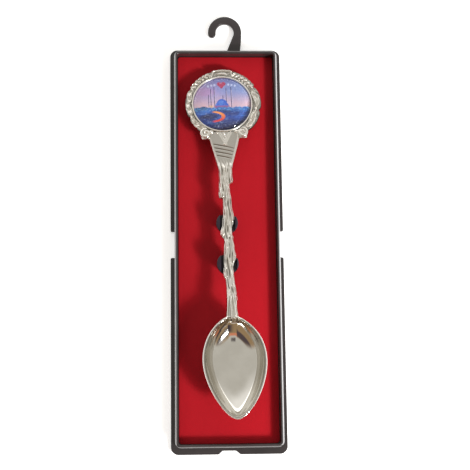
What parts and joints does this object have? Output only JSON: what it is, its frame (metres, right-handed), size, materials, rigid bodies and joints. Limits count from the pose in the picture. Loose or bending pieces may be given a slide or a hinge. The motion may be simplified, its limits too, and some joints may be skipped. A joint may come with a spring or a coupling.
{
  "type": "souvenir spoon",
  "caption": "Silver-coloured souvenir spoon with a round picture medallion, clipped in a shallow black hanging tray lined with red card.",
  "frame": {"origin": "on the tray plate's flat underside, the face it lies or hangs against, at the middle of its raised rim", "axes": "+Z out of the tray's face, +Y along the tray towards its hanging hook, +X to the right seen from the front"},
  "size_m": [0.0384, 0.1519, 0.0126],
  "materials": {
    "tray_plastic": "satin injection-moulded polystyrene, brownish black",
    "red_flock": "fine red flock on card",
    "clip_plastic": "satin black plastic",
    "spoon_metal": "silver-coloured plating, polished bowl and satin cast ornament",
    "picture_ink": "printed picture disc",
    "clear_resin": "clear domed epoxy resin"
  },
  "bodies": {
    "case": {"tray": "tray_plastic", "insert_card": "red_flock", "clip_upper": "clip_plastic", "clip_lower": "clip_plastic"},
    "spoon": {"spoon": "spoon_metal", "picture_print": "picture_ink", "resin_dome": "clear_resin"}
  },
  "joints": [
    {"name": "spoon_lift", "type": "slide", "parent": "case", "child": "spoon", "axis": [0, 0, 1], "range_m": [0, 0.03]}
  ]
}
